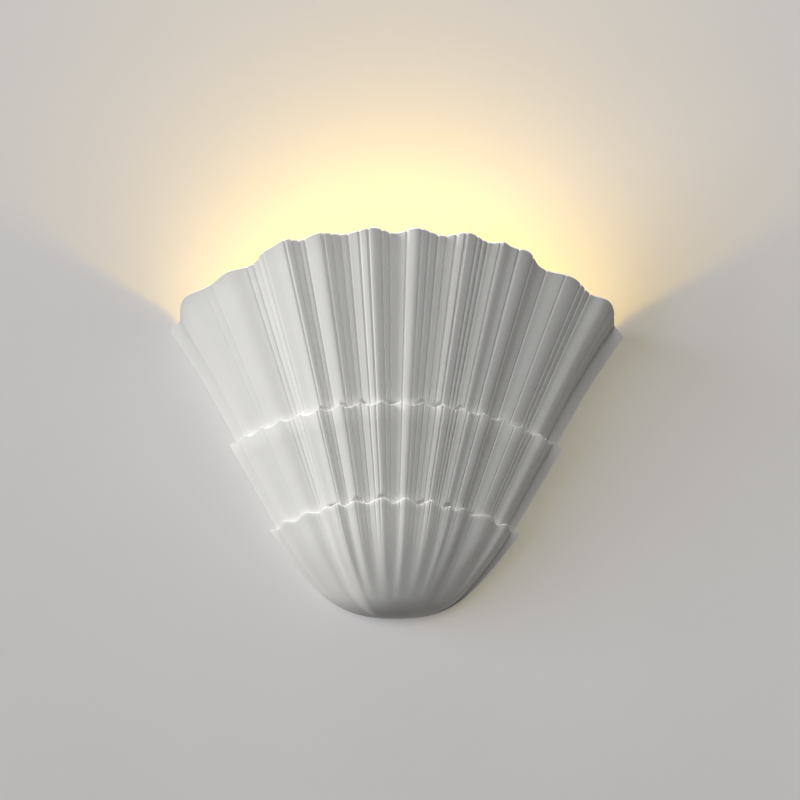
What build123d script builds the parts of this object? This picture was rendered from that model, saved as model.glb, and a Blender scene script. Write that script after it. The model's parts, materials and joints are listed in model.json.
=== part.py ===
from build123d import *
import os
from math import asin, atan2, cos, degrees, radians, sin, sqrt, tan

# Shell wall sconce. Millimetres, +Z up, +X to the right of someone who faces the wall, the room
# on the -Y side. The origin lies on the wall, midway between the two screws that hold the plate.
# "Depth" in these comments is the distance from the wall, so a point at depth d has Y = -d.
# "Level" is a height above the lowest point of the shell.

# ---- the shell's outline, as seen from the front ----
ORIGIN_LEVEL = 104.0        # level of the wall screws
FAN_CENTRE_DROP = 78.0      # the flutes fan out from a point this far below the shell
UPPER_FAN_ANGLE = 28.7      # half angle of each tier's edge at the wall, from the fan's centre
MIDDLE_FAN_ANGLE = 29.9
RIM_TIP_LEVEL = 187.0       # where the rim meets the wall
RIM_RISE = 0.53             # how much the rim climbs for each millimetre of depth
MIDDLE_TOP_RADIUS = 220.0   # the two steps are arcs about the fan's centre
BOWL_TOP_RADIUS = 158.0
TIP_FLARE = 4.6             # extra width of the upper tier's edge at the rim
FLARE_START_LEVEL = 138.0   # the edge starts to flare out here

# ---- the bowl that closes the shell below ----
BOWL_UPPER_RADIUS = 245.0   # side profile of the bowl: a long arc, then a short one
BOWL_LOWER_RADIUS = 58.0
BOWL_CHANGE_ANGLE = 45.0    # slope from the vertical where one arc meets the other
BOWL_FOOT_HALF_WIDTH = 9.0  # flat under the bowl
FLUTE_START_LEVEL = 6.0     # the flutes rise out of the smooth bottom here
FLUTE_FULL_LEVEL = 40.0     # and have their full depth here

# ---- the shell's plan, as shares of its half width at the wall ----
BELLY_SHARE = 0.935         # half width of the fluted half ellipse, inside the edge flange
DEPTH_SHARE = 0.645         # its depth
SIDE_FLATNESS = 0.12        # the plan's sides are this much flatter than the ellipse
FLAT_START_ANGLE = 25.0     # from here round the ellipse, fully so from the next angle to the third
FLAT_FULL_ANGLE = 40.0
FLAT_FADE_ANGLE = 57.0
FLAT_END_ANGLE = 72.0
FLUTE_SHARE = 0.0145        # how far a rib's crest stands out from it
FLUTE_SIDE_LEAN = 0.5       # ribs grow mostly outwards from the wall, and half as much sideways
FLANGE_FOOT_ANGLE = 80.0    # where the flutes end and the flange starts, round the ellipse
RIB_ANGLES = (2.9, 7.5, 11.2, 15.1, 19.8, 24.4)  # crests on one side, from the fan's centre

SHELL_WALL = 5.0            # wall, measured level
BOWL_FLOOR = 6.0            # thickness of the bottom
INNER_FLUTE_SHARE = 0.7     # the inside follows the flutes less deeply
TIER_OVERLAP = 12.0         # each tier runs on this far behind the one below
RIM_ALLOWANCE = 80.0        # height above the rim's tips that the slanted cut takes away
INSIDE_BOWL_LEVEL = 45.0    # the hollow is a bowl up to here
INSIDE_FAN_LEVEL = 70.0     # and follows the upper tier from here on

# ---- wall plate and its two hooks ----
PLATE_WIDTH = 120.0
PLATE_TOP = 50.0
PLATE_BOTTOM = -30.0
PLATE_THICKNESS = 2.0
PLATE_CORNER = 8.0
WALL_HOLE_SPACING = 60.0
WALL_SLOT_WIDTH = 4.5
WALL_SLOT_LENGTH = 12.0
CABLE_HOLE_DIAMETER = 14.0
HOOK_SPACING = 90.0
HOOK_WIDTH = 14.0
HOOK_SEAT_Z = 28.0          # top of the hook's arm, where the strap rests
HOOK_REACH = 5.5            # from the plate's front to the front of the hook
HOOK_HEIGHT = 10.0          # upstand above its seat
HOOK_CUT_CLEARANCE = 1.0    # round each hook in the plate

# ---- strap across the back of the shell ----
STRAP_THICKNESS = 2.0
STRAP_GAP = 1.0             # between the plate and the strap
STRAP_LENGTH = 176.0
STRAP_ABOVE = 7.0           # strap above and below its windows
STRAP_BELOW = 4.0
STRAP_CORNER = 6.0
WINDOW_SIDE_CLEARANCE = 1.0
LIFT_CLEARANCE = 0.5        # upstand to window once the shell is lifted
LUG_SPACING = 160.0
LUG_WIDTH = 20.0            # cast lugs inside the shell
LUG_LENGTH = 13.0
INSERT_DIAMETER = 7.0
INSERT_LENGTH = 10.0

# ---- fasteners ----
M4_DIAMETER = 4.0
M4_HEAD_DIAMETER = 7.6
M4_HEAD_HEIGHT = 2.2
M3_DIAMETER = 3.0
M3_HEAD_DIAMETER = 5.4
M3_HEAD_HEIGHT = 1.8
THREAD_CLEARANCE = 0.05     # radial, thread in its own hole
HOLE_CLEARANCE = 0.2        # radial, screw through a plain hole
DRIVE_SLOT_WIDTH = 0.9
DRIVE_SLOT_DEPTH = 0.8
SEAT_GAP = 0.05             # pieces that are pushed into one another

# ---- lampholder bracket ----
LEAN = 10.0                 # the lamp leans out from the wall
HOLDER_DEPTH = 24.0         # the seat of the lampholder on the bracket
HOLDER_Z = -30.0
BRACKET_THICKNESS = 1.5
BRACKET_WIDTH = 24.0
BRACKET_TOP_GAP = 1.0       # below the grommet's flange
BRACKET_REACH = 15.0        # from the lampholder's axis to the end of the shelf
BRACKET_BEND = 1.5
BRACKET_CORNER = 4.0
BRACKET_SCREW_SPACING = 13.0
BRACKET_SCREW_INSET = 7.0   # below the bracket's top

# ---- lampholder for a 14 mm screw cap, along its own axis from the bracket ----
NIPPLE_DIAMETER = 10.0
NIPPLE_BORE = 7.2
NIPPLE_BELOW = 8.5
NIPPLE_ABOVE = 8.0
NUT_FLATS = 14.0
NUT_THICKNESS = 3.0
WASHER_THICKNESS = 0.8
WASHER_DIAMETER = 16.0
HOLDER_DIAMETER = 28.0
HOLDER_FOOT_DIAMETER = 17.0
HOLDER_WALL = 1.8
HOLDER_BASE_HEIGHT = 18.0
HOLDER_HEIGHT = 52.0
HOLDER_MOUTH_BORE = 18.4
HOLDER_LEDGE = 1.4          # inside the base, for the core to stand on
HOLDER_COLLAR_WALL = 2.2    # round the nipple's thread
HOLDER_FLOOR = 3.2
BASE_BEND = 4.0
SLEEVE_STEP_ABOVE_BASE = 5.0
SLEEVE_STEP = 0.8           # the sleeve is this much slimmer above its step
SLEEVE_LIP_HEIGHT = 6.0     # thicker rim round the mouth
SLEEVE_LIP_ROUNDING = 1.0
CORE_BOTTOM = 12.0
CORE_TOP = 26.0
CORE_RECESS = 3.0
TERMINAL_OFFSET = 7.0       # each lamp wire's terminal screw from the axis
TERMINAL_SCREW_LENGTH = 4.5
TERMINAL_HOLE_DEPTH = 5.0
SCREW_SHELL_HEIGHT = 20.0
SCREW_SHELL_WALL = 0.45
CONTACT_WIDTH = 4.0
CONTACT_THICKNESS = 0.4

# ---- lamp with a 14 mm screw cap ----
CAP_DIAMETER = 13.9
CAP_WALL = 0.45
CAP_CLEARANCE = 0.2         # radial, in the screw shell
CAP_LENGTH = 18.0
CAP_COLLAR_DIAMETER = 15.2
CAP_COLLAR_HEIGHT = 2.4
LAMP_CONTACT_GAP = 0.1
TIP_HEIGHT = 1.3
TIP_DIAMETER = 4.6
INSULATOR_HEIGHT = 3.2
INSULATOR_MARGIN = 1.0      # round the tip contact
GLOBE_DIAMETER = 45.0
GLOBE_WALL = 1.0
LAMP_LENGTH = 78.0
NECK_TOP_DIAMETER = 32.0
NECK_FOOT_DIAMETER = 16.4
NECK_START_ABOVE_HOLDER = 1.0
LED_BOARD_DIAMETER = 25.0
LED_BOARD_THICKNESS = 1.2
LED_COUNT = 6
LED_CIRCLE = 16.0
LED_SIZE = 3.0
LED_HEIGHT = 0.8

# ---- terminal block and wires ----
BLOCK_CENTRE_X = 34.0
BLOCK_TOP = -9.0
BLOCK_HEIGHT = 18.0
BLOCK_DEPTH = 13.0
BLOCK_END_WALL = 3.5
POLE_PITCH = 10.0
POLE_COUNT = 3
SLEEVE_DIAMETER = 5.2
SLEEVE_BORE = 3.0
SLEEVE_LENGTH = 15.0
SLEEVE_DEPTH = 7.0          # its axis in front of the plate
BLOCK_SCREW_INSET = 4.4     # clamp screws from the block's ends
WIRE_DIAMETER = 2.2
WIRE_SPREAD = 1.5           # each lamp wire's distance from the nipple's axis
NEUTRAL_TURN_BELOW = 13.0   # below the bracket, where each wire turns off
LIVE_TURN_BELOW = 20.0
WIRE_BEND = 5.0
EARTH_RUN_Z = -39.0
EARTH_INSET = 20.0          # earth screw from the plate's end
EARTH_Z = -18.0
LUG_RING_DIAMETER = 9.0
LUG_RING_THICKNESS = 0.8
LUG_BARREL_DIAMETER = 3.4
LUG_BARREL_LENGTH = 6.0
LUG_TONGUE = 2.0            # from its ring to its barrel
EARTH_WASHER_DIAMETER = 9.0
EARTH_WASHER_THICKNESS = 0.8

GROMMET_FLANGE_DIAMETER = 18.0
GROMMET_FLANGE_THICKNESS = 1.0
GROMMET_BORE = 9.0

# ---- sizes that follow ----
FAN_CENTRE_Z = -ORIGIN_LEVEL - FAN_CENTRE_DROP
EARTH_X = EARTH_INSET - PLATE_WIDTH / 2
STRAP_DEPTH = PLATE_THICKNESS + STRAP_GAP
STRAP_FRONT = STRAP_DEPTH + STRAP_THICKNESS
LIFT = HOOK_HEIGHT + LIFT_CLEARANCE
WINDOW_HEIGHT = LIFT + PLATE_THICKNESS + LIFT_CLEARANCE
STRAP_TOP = HOOK_SEAT_Z + STRAP_ABOVE
STRAP_BOTTOM = HOOK_SEAT_Z - WINDOW_HEIGHT - STRAP_BELOW
STRAP_MIDDLE = (STRAP_TOP + STRAP_BOTTOM) / 2
BRACKET_TOP = -GROMMET_FLANGE_DIAMETER / 2 - BRACKET_TOP_GAP
BRACKET_SCREW_Z = BRACKET_TOP - BRACKET_SCREW_INSET
SCREW_SHELL_BORE = CAP_DIAMETER / 2 + CAP_CLEARANCE
CONTACT_TOP = CORE_TOP - CORE_RECESS + 4 * CONTACT_THICKNESS
LAMP_TIP = CONTACT_TOP + LAMP_CONTACT_GAP
GLOBE_CENTRE = LAMP_TIP + LAMP_LENGTH - GLOBE_DIAMETER / 2
NECK_TOP = GLOBE_CENTRE - sqrt((GLOBE_DIAMETER / 2) ** 2 - (NECK_TOP_DIAMETER / 2) ** 2)
CAP_BOTTOM = LAMP_TIP + TIP_HEIGHT + INSULATOR_HEIGHT
CAP_TOP = CAP_BOTTOM + CAP_LENGTH
BLOCK_WIDTH = (POLE_COUNT - 1) * POLE_PITCH + 2 * BLOCK_END_WALL + SLEEVE_DIAMETER
BLOCK_BOTTOM = BLOCK_TOP - BLOCK_HEIGHT
POLE_X = [BLOCK_CENTRE_X + (i - (POLE_COUNT - 1) / 2) * POLE_PITCH for i in range(POLE_COUNT)]
POLE_DEPTH = PLATE_THICKNESS + SLEEVE_DEPTH

os.makedirs("parts", exist_ok=True)


def save(shape, name):
    shape.label = name
    export_step(shape, f"parts/{name}.step")


def at(x, depth, z):
    """A point given by its depth from the wall."""
    return Vector(x, -depth, z)


def into_room(x, z, depth=0.0):
    """A plane on the wall whose Z runs out into the room."""
    return Plane(at(x, depth, z), x_dir=(1, 0, 0), z_dir=(0, -1, 0))


def disc(plane, diameter, start, end):
    """A cylinder along a plane's normal from start to end."""
    bar = Cylinder(diameter / 2, end - start, align=(Align.CENTER, Align.CENTER, Align.MIN))
    return plane.offset(start) * bar


def block(x_range, depth_range, z_range):
    """A box between two values of x, of depth and of z."""
    centre = at(sum(x_range) / 2, sum(depth_range) / 2, sum(z_range) / 2)
    size = [abs(r[1] - r[0]) for r in (x_range, depth_range, z_range)]
    return Pos(centre) * Box(*size)


def pan_screw(plane, diameter, head_diameter, head_height, length):
    """A slotted pan head on a plane, with its shank going down through it."""
    head = disc(plane, head_diameter, 0, head_height)
    shank = disc(plane, diameter - 2 * THREAD_CLEARANCE, -length, 0)
    slot = plane.offset(head_height) * Box(head_diameter * 2, DRIVE_SLOT_WIDTH, 2 * DRIVE_SLOT_DEPTH)
    return head + shank - slot


# ---- the shell ----
def fan_half_width(level, fan_angle):
    """Half width at the wall of a tier whose edge runs straight from the fan's centre."""
    return (level + FAN_CENTRE_DROP) * tan(radians(fan_angle))


def bowl_half_width(level, floor_level=0.0, inset=0.0):
    """Half width of the bowl: a short arc up from its flat foot, then a long one."""
    short = BOWL_LOWER_RADIUS - inset
    long = BOWL_UPPER_RADIUS - inset
    rise = level - floor_level
    change = radians(BOWL_CHANGE_ANGLE)
    change_rise = short * (1 - sin(change))
    if rise <= change_rise:
        return BOWL_FOOT_HALF_WIDTH + sqrt(short ** 2 - (short - rise) ** 2)
    start = BOWL_FOOT_HALF_WIDTH + short * cos(change)
    slope_sine = sin(change) - (rise - change_rise) / long
    return start + long * (sqrt(1 - slope_sine ** 2) - cos(change))


def smooth_step(value, start, end):
    """0 up to the start, 1 from the end on, and a smooth curve between them."""
    share = min(1.0, max(0.0, (value - start) / (end - start)))
    return share * share * (3 - 2 * share)


def flute_growth(level):
    """0 on the smooth bottom, 1 where the flutes have their full depth."""
    return smooth_step(level, FLUTE_START_LEVEL, FLUTE_FULL_LEVEL)


def plan_cosine(angle):
    """Depth of the plan at an angle round it, as a share of its full depth: an ellipse with flatter sides."""
    flat = smooth_step(angle, FLAT_START_ANGLE, FLAT_FULL_ANGLE)
    flat -= smooth_step(angle, FLAT_FADE_ANGLE, FLAT_END_ANGLE)
    return cos(radians(angle)) * (1 - SIDE_FLATNESS * flat)


def plan_angle(fan_angle):
    """Where a line from the fan's centre lies round the plan's ellipse."""
    return degrees(asin(tan(radians(fan_angle)) / tan(radians(UPPER_FAN_ANGLE)) / BELLY_SHARE))


def flute_stations():
    """Places round one half of the plan, with the flute's offset there: -1 valley, 1 crest."""
    crests = [plan_angle(a) for a in RIB_ANGLES]
    ends = [0.0] + [(a + b) / 2 for a, b in zip(crests, crests[1:])] + [FLANGE_FOOT_ANGLE]
    stations = []
    for crest, low, high in zip(crests, ends, ends[1:]):
        stations += [(low, -1.0), ((low + crest) / 2, 0.0), (crest, 1.0), ((crest + high) / 2, 0.0)]
    return stations + [(FLANGE_FOOT_ANGLE, -1.0)]


def fluted_points(level, side, front, flute):
    """Points round the fluted half ellipse, from left to right."""
    right = []
    for angle, share in flute_stations():
        s, c = sin(radians(angle)), cos(radians(angle))
        normal = Vector(s / side, -c / front, 0).normalized()
        growth = Vector(normal.X * FLUTE_SIDE_LEAN, normal.Y, 0)
        base = at(side * s, front * plan_cosine(angle), level - ORIGIN_LEVEL)
        right.append(base + growth * (flute * share))
    left = [Vector(-p.X, p.Y, p.Z) for p in reversed(right[1:])]
    return left + right


def outer_section(level, half_width, flare=0.0):
    """Outer plan of a tier: flutes, the two edge flanges, and the line along the wall."""
    z = level - ORIGIN_LEVEL
    points = fluted_points(level, BELLY_SHARE * half_width, DEPTH_SHARE * half_width,
                           FLUTE_SHARE * half_width * flute_growth(level))
    tip = half_width + flare
    edges = [Spline(*points), Line(points[-1], at(tip, 0, z)), Line(at(tip, 0, z), at(-tip, 0, z)),
             Line(at(-tip, 0, z), points[0])]
    return Face(Wire(edges))


def inner_section(level, half_width, wall):
    """Inner plan, closed a little behind the wall so that the back comes out open."""
    z = level - ORIGIN_LEVEL
    side = BELLY_SHARE * half_width - wall
    points = fluted_points(level, side, DEPTH_SHARE * half_width - wall,
                           INNER_FLUTE_SHARE * FLUTE_SHARE * half_width * flute_growth(level))
    behind = -SHELL_WALL
    corners = [points[-1], at(side, 0, z), at(side, behind, z), at(-side, behind, z), at(-side, 0, z),
               points[0]]
    edges = [Spline(*points)] + [Line(a, b) for a, b in zip(corners, corners[1:])]
    return Face(Wire(edges))


def upper_tier():
    top = RIM_TIP_LEVEL + RIM_ALLOWANCE
    foot = MIDDLE_TOP_RADIUS * cos(radians(UPPER_FAN_ANGLE)) - FAN_CENTRE_DROP - TIER_OVERLAP
    levels = [foot, FLARE_START_LEVEL, RIM_TIP_LEVEL, top]
    sections = []
    for level in levels:
        growth = max(0.0, (level - FLARE_START_LEVEL) / (RIM_TIP_LEVEL - FLARE_START_LEVEL))
        sections.append(outer_section(level, fan_half_width(level, UPPER_FAN_ANGLE), TIP_FLARE * growth ** 2))
    tier = loft(sections[:2], ruled=True) + loft(sections[1:3], ruled=True) + loft(sections[2:], ruled=True)
    return tier


def rim_cutter():
    """Everything above the slanted plane of the rim."""
    slope = degrees(atan2(RIM_RISE, 1))
    size = 2 * (RIM_TIP_LEVEL + FAN_CENTRE_DROP)
    plane = Plane(at(0, 0, RIM_TIP_LEVEL - ORIGIN_LEVEL), x_dir=(1, 0, 0),
                  z_dir=(0, sin(radians(slope)), cos(radians(slope))))
    return plane * Box(size, size, size, align=(Align.CENTER, Align.CENTER, Align.MIN))


def fan_disc(radius):
    """Everything nearer to the fan's centre than a step."""
    depth = 2 * radius
    centre = Plane(at(0, -depth / 2, FAN_CENTRE_Z), x_dir=(1, 0, 0), z_dir=(0, -1, 0))
    return centre * Cylinder(radius, depth, align=(Align.CENTER, Align.CENTER, Align.MIN))


def middle_tier():
    foot = BOWL_TOP_RADIUS * cos(radians(MIDDLE_FAN_ANGLE)) - FAN_CENTRE_DROP - TIER_OVERLAP
    top = MIDDLE_TOP_RADIUS - FAN_CENTRE_DROP + TIER_OVERLAP
    sections = [outer_section(level, fan_half_width(level, MIDDLE_FAN_ANGLE)) for level in (foot, top)]
    return loft(sections, ruled=True) & fan_disc(MIDDLE_TOP_RADIUS)


def bowl():
    top = BOWL_TOP_RADIUS - FAN_CENTRE_DROP + TIER_OVERLAP
    levels = [0.0, 1.5, 5.0, 11.0, 19.0, 29.0, FLUTE_FULL_LEVEL, 56.0, 72.0, top]
    sections = [outer_section(level, bowl_half_width(level)) for level in levels]
    return loft(sections, ruled=False) & fan_disc(BOWL_TOP_RADIUS)


def inside():
    """The hollow: it follows the upper tier all the way down and ends in a bowl."""
    levels = [BOWL_FLOOR, BOWL_FLOOR + 2, BOWL_FLOOR + 6, BOWL_FLOOR + 14, BOWL_FLOOR + 24, INSIDE_BOWL_LEVEL]
    low = [inner_section(level, bowl_half_width(level, BOWL_FLOOR, BOWL_FLOOR), SHELL_WALL)
           for level in levels]
    high = [inner_section(level, fan_half_width(level, UPPER_FAN_ANGLE), SHELL_WALL)
            for level in (INSIDE_FAN_LEVEL, RIM_TIP_LEVEL + RIM_ALLOWANCE + TIER_OVERLAP)]
    return loft(low + high[:1], ruled=False) + loft(high, ruled=True)


def strap_lug(side):
    outer_x = side * (LUG_SPACING / 2 + 2 * LUG_WIDTH)
    inner_x = side * (LUG_SPACING - LUG_WIDTH) / 2
    half = LUG_WIDTH / 2
    return block((inner_x, outer_x), (STRAP_FRONT, STRAP_FRONT + LUG_LENGTH),
                 (STRAP_MIDDLE - half, STRAP_MIDDLE + half))


def shell_shade():
    outer = upper_tier() - rim_cutter()
    outer = outer + middle_tier() + bowl()
    hollow = inside()
    lugs = [strap_lug(side) & outer for side in (-1, 1)]
    shell = outer - hollow + lugs
    for side in (-1, 1):
        hole = into_room(side * LUG_SPACING / 2, STRAP_MIDDLE)
        bore = INSERT_DIAMETER + 2 * SEAT_GAP
        shell = shell - disc(hole, bore, STRAP_FRONT - 1, STRAP_FRONT + INSERT_LENGTH)
    return shell


# ---- what hangs the shell on the wall ----
def m4_screw(plane, length):
    return pan_screw(plane, M4_DIAMETER, M4_HEAD_DIAMETER, M4_HEAD_HEIGHT, length)


def hook(x):
    """An arm bent out of the plate and turned up at its end."""
    sides = (x - HOOK_WIDTH / 2, x + HOOK_WIDTH / 2)
    front = PLATE_THICKNESS + HOOK_REACH
    under = HOOK_SEAT_Z - PLATE_THICKNESS
    arm = block(sides, (0, front), (under, HOOK_SEAT_Z))
    upstand = block(sides, (front - PLATE_THICKNESS, front), (under, HOOK_SEAT_Z + HOOK_HEIGHT))
    bent = arm + upstand
    outer_bend = [e for e in bent.edges().filter_by(Axis.X) if abs(e.center().Y + front) < 0.01
                  and abs(e.center().Z - under) < 0.01]
    bent = fillet(outer_bend, 0.9 * PLATE_THICKNESS)
    corners = [e for e in bent.edges().filter_by(Axis.Y)
               if abs(e.center().Z - HOOK_SEAT_Z - HOOK_HEIGHT) < 0.01]
    return fillet(corners, HOOK_WIDTH / 5)


def wall_plate():
    height = PLATE_TOP - PLATE_BOTTOM
    outline = RectangleRounded(PLATE_WIDTH, height, PLATE_CORNER)
    plate = into_room(0, (PLATE_TOP + PLATE_BOTTOM) / 2) * extrude(outline, PLATE_THICKNESS)
    slot = extrude(SlotOverall(WALL_SLOT_LENGTH, WALL_SLOT_WIDTH), PLATE_THICKNESS)
    for side in (-1, 1):
        plate -= into_room(side * WALL_HOLE_SPACING / 2, 0) * slot
        x = side * HOOK_SPACING / 2
        half = HOOK_WIDTH / 2 + HOOK_CUT_CLEARANCE
        plate -= block((x - half, x + half), (0, PLATE_THICKNESS),
                       (HOOK_SEAT_Z, HOOK_SEAT_Z + HOOK_HEIGHT + HOOK_REACH))
        plate += hook(x)
        plate -= disc(bracket_hole(side), M4_DIAMETER, 0, PLATE_THICKNESS)
    plate -= disc(into_room(0, 0), CABLE_HOLE_DIAMETER, 0, PLATE_THICKNESS)
    plate -= disc(into_room(EARTH_X, EARTH_Z), M4_DIAMETER, 0, PLATE_THICKNESS)
    plate -= disc(block_fixing_plane(), M3_DIAMETER, 0, PLATE_THICKNESS)
    return plate


def cable_grommet():
    plane = into_room(0, 0)
    top = PLATE_THICKNESS + GROMMET_FLANGE_THICKNESS
    ring = disc(plane, CABLE_HOLE_DIAMETER - 2 * SEAT_GAP, 0, PLATE_THICKNESS)
    flange = disc(plane, GROMMET_FLANGE_DIAMETER, PLATE_THICKNESS, top)
    front_edge = flange.edges().filter_by(GeomType.CIRCLE).sort_by(Axis.Y)[0]
    flange = fillet(front_edge, GROMMET_FLANGE_THICKNESS / 2)
    return ring + flange - disc(plane, GROMMET_BORE, 0, top)


def hanger_strap():
    outline = RectangleRounded(STRAP_LENGTH, STRAP_TOP - STRAP_BOTTOM, STRAP_CORNER)
    strap = into_room(0, STRAP_MIDDLE, STRAP_DEPTH) * extrude(outline, STRAP_THICKNESS)
    for side in (-1, 1):
        x = side * HOOK_SPACING / 2
        half = HOOK_WIDTH / 2 + WINDOW_SIDE_CLEARANCE
        strap -= block((x - half, x + half), (STRAP_DEPTH, STRAP_FRONT),
                       (HOOK_SEAT_Z - WINDOW_HEIGHT, HOOK_SEAT_Z))
        hole = into_room(side * LUG_SPACING / 2, STRAP_MIDDLE)
        strap -= disc(hole, M4_DIAMETER + 2 * HOLE_CLEARANCE, STRAP_DEPTH, STRAP_FRONT)
    return strap


def strap_inserts():
    inserts = []
    for side in (-1, 1):
        plane = into_room(side * LUG_SPACING / 2, STRAP_MIDDLE, STRAP_FRONT)
        insert = disc(plane, INSERT_DIAMETER, 0, INSERT_LENGTH) - disc(plane, M4_DIAMETER, 0, INSERT_LENGTH)
        groove = disc(plane, INSERT_DIAMETER, 0.4 * INSERT_LENGTH, 0.6 * INSERT_LENGTH)
        groove -= disc(plane, 0.85 * INSERT_DIAMETER, 0, INSERT_LENGTH)
        inserts.append(insert - groove)
    return Compound(children=inserts)


def strap_screws():
    screws = []
    for side in (-1, 1):
        plane = Plane(at(side * LUG_SPACING / 2, STRAP_DEPTH, STRAP_MIDDLE), x_dir=(1, 0, 0), z_dir=(0, 1, 0))
        screws.append(m4_screw(plane, STRAP_THICKNESS + 0.8 * INSERT_LENGTH))
    return Compound(children=screws)


# ---- lampholder and its bracket ----
SEAT = Plane(at(0, HOLDER_DEPTH, HOLDER_Z), x_dir=(1, 0, 0),
             z_dir=(0, -sin(radians(LEAN)), cos(radians(LEAN))))


def turned(*edges):
    """A piece of revolution on the lampholder's axis, from edges in (radius, height)."""
    return SEAT * revolve(Plane.XZ * Face(Wire(edges)), Axis.Z)


def turned_polygon(*points):
    return SEAT * revolve(Plane.XZ * Face(Wire(Polyline(*points, close=True))), Axis.Z)


def bracket_hole(side):
    return into_room(side * BRACKET_SCREW_SPACING / 2, BRACKET_SCREW_Z)


def holder_bracket():
    """A leaf on the plate and a shelf that leans with the lamp, bent from one strip."""
    lean = radians(LEAN)
    back, front = PLATE_THICKNESS, PLATE_THICKNESS + BRACKET_THICKNESS
    drop = BRACKET_THICKNESS / cos(lean)

    def shelf_top(depth):
        return HOLDER_Z - (depth - HOLDER_DEPTH) * tan(lean)

    end = SEAT.from_local_coords(Vector(0, -BRACKET_REACH, 0))
    end_under = SEAT.from_local_coords(Vector(0, -BRACKET_REACH, -BRACKET_THICKNESS))
    inner_bend = at(0, front, shelf_top(front))
    outer_bend = at(0, back, shelf_top(back) - drop)
    profile = Face(Wire(Polyline(at(0, back, BRACKET_TOP), outer_bend, end_under, end, inner_bend,
                                 at(0, front, BRACKET_TOP), close=True)))
    profile = fillet(profile.vertices().sort_by_distance(inner_bend)[0], BRACKET_BEND)
    profile = fillet(profile.vertices().sort_by_distance(outer_bend)[0], BRACKET_BEND + BRACKET_THICKNESS)
    bracket = extrude(profile, BRACKET_WIDTH / 2, both=True)
    corners = [e for e in bracket.edges() if abs(e.length - BRACKET_THICKNESS) < 0.01
               and abs(abs(e.center().X) - BRACKET_WIDTH / 2) < 0.01]
    bracket = fillet(corners, BRACKET_CORNER)
    bracket -= disc(SEAT, NIPPLE_DIAMETER + 2 * HOLE_CLEARANCE, -2 * BRACKET_THICKNESS, BRACKET_THICKNESS)
    for side in (-1, 1):
        bracket -= disc(bracket_hole(side), M4_DIAMETER + 2 * HOLE_CLEARANCE, back, front)
    return bracket


def bracket_screws():
    front = PLATE_THICKNESS + BRACKET_THICKNESS
    return Compound(children=[m4_screw(bracket_hole(side).offset(front), front - HOLE_CLEARANCE)
                              for side in (-1, 1)])


def threaded_nipple():
    radius, bore = NIPPLE_DIAMETER / 2 - THREAD_CLEARANCE, NIPPLE_BORE / 2
    return turned_polygon((bore, -NIPPLE_BELOW), (radius, -NIPPLE_BELOW), (radius, NIPPLE_ABOVE),
                          (bore, NIPPLE_ABOVE))


def nipple_washer():
    under = -BRACKET_THICKNESS
    ring = disc(SEAT, WASHER_DIAMETER, under - WASHER_THICKNESS, under)
    return ring - disc(SEAT, NIPPLE_DIAMETER + 2 * HOLE_CLEARANCE, under - WASHER_THICKNESS, under)


def nipple_nut():
    top = -BRACKET_THICKNESS - WASHER_THICKNESS
    hexagon = RegularPolygon(NUT_FLATS / 2, 6, major_radius=False)
    nut = SEAT.offset(top - NUT_THICKNESS) * extrude(hexagon, NUT_THICKNESS)
    under, wide = top - NUT_THICKNESS, NUT_FLATS / 2
    cone = turned_polygon((0, under - 1), (wide - 0.4, under - 1), (wide + 3.5, under + 1.5),
                          (wide + 3.5, top), (0, top))
    return (nut & cone) - disc(SEAT, NIPPLE_DIAMETER, top - NUT_THICKNESS, top)


def lampholder_base():
    foot, outer = HOLDER_FOOT_DIAMETER / 2, HOLDER_DIAMETER / 2
    inner = outer - HOLDER_WALL
    ledge = inner - HOLDER_LEDGE
    shoulder = outer - foot + 1.5
    bore = NIPPLE_DIAMETER / 2
    collar = bore + HOLDER_COLLAR_WALL
    base = turned_polygon((bore, 0), (foot, 0), (outer, shoulder), (outer, HOLDER_BASE_HEIGHT),
                          (inner, HOLDER_BASE_HEIGHT), (inner, CORE_BOTTOM), (ledge, CORE_BOTTOM),
                          (ledge, shoulder + 0.8), (foot + 0.2, HOLDER_FLOOR), (collar, HOLDER_FLOOR),
                          (collar, NIPPLE_ABOVE), (bore, NIPPLE_ABOVE))
    edges = base.edges().filter_by(GeomType.CIRCLE)
    bend = [e for e in edges if abs(e.radius - outer) < 0.01
            and abs(SEAT.to_local_coords(e.arc_center).Z - shoulder) < 0.01]
    return fillet(bend, BASE_BEND)


def lampholder_sleeve():
    outer = HOLDER_DIAMETER / 2
    inner = outer - HOLDER_WALL
    slim, mouth = outer - SLEEVE_STEP, HOLDER_MOUTH_BORE / 2
    slim_bore = slim - HOLDER_WALL
    step = HOLDER_BASE_HEIGHT + SLEEVE_STEP_ABOVE_BASE
    lip = HOLDER_HEIGHT - SLEEVE_LIP_HEIGHT
    sleeve = turned_polygon((inner, HOLDER_BASE_HEIGHT), (outer, HOLDER_BASE_HEIGHT), (outer, step),
                            (slim, step + 1), (slim, HOLDER_HEIGHT), (mouth, HOLDER_HEIGHT), (mouth, lip),
                            (slim_bore, lip - 3), (slim_bore, step + 1), (inner, step))
    rim = [e for e in sleeve.edges().filter_by(GeomType.CIRCLE)
           if abs(SEAT.to_local_coords(e.arc_center).Z - HOLDER_HEIGHT) < 0.01]
    return fillet(rim, SLEEVE_LIP_ROUNDING)


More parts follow.
